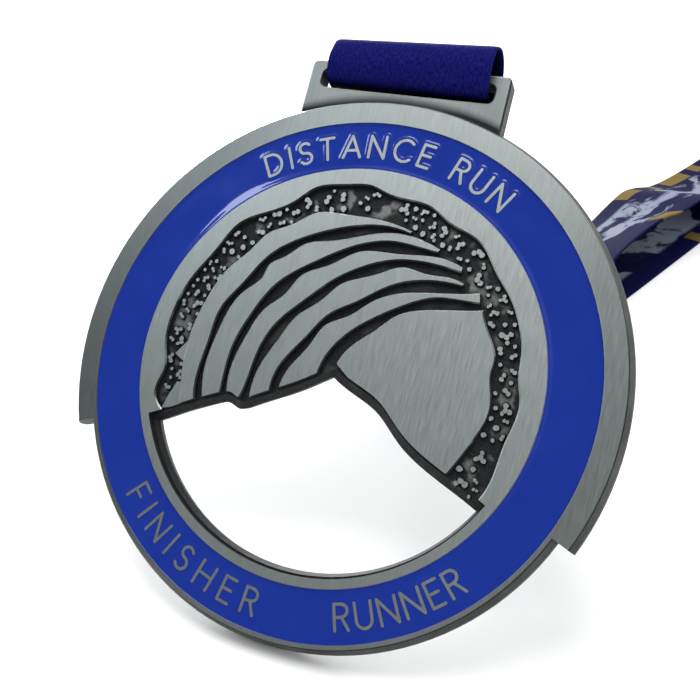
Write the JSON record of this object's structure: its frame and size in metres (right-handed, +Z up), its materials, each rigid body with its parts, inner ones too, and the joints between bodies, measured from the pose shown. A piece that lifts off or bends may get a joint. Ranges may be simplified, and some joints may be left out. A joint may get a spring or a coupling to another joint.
{
  "type": "finisher medal",
  "caption": "Round cast medal with an enamel ring and a large cut-out, on a sewn neck ribbon, leaning back on its lower rim with the ribbon running off behind it.",
  "frame": {"origin": "the point where the medal's lower rim touches the ground, on the medal's centre plane", "axes": "+X to the medal's right as seen from the front, +Y away from the viewer along the ground, +Z up"},
  "size_m": [0.1256, 0.3175, 0.0687],
  "materials": {
    "antique_nickel": "brushed antique nickel on a zinc casting, dark patina in the recesses",
    "blue_enamel": "glossy royal blue soft enamel",
    "navy_ribbon": "navy satin-woven polyester ribbon with a printed pattern",
    "navy_thread": "navy polyester sewing thread"
  },
  "bodies": {
    "medal": {"medal_casting": "antique_nickel", "enamel_ring": "blue_enamel", "enamel_letter_counters": "blue_enamel"},
    "ribbon": {"neck_ribbon_loop": "navy_ribbon", "neck_ribbon_strands": "navy_ribbon", "neck_ribbon_folded_end": "navy_ribbon", "ribbon_stitching": "navy_thread"}
  },
  "joints": [
    {"name": "ribbon_swing", "type": "hinge", "parent": "medal", "child": "ribbon", "pos_m": [0, 0.05414, 0.06404], "axis": [1, 0, 0], "range_deg": [0, 75]}
  ]
}
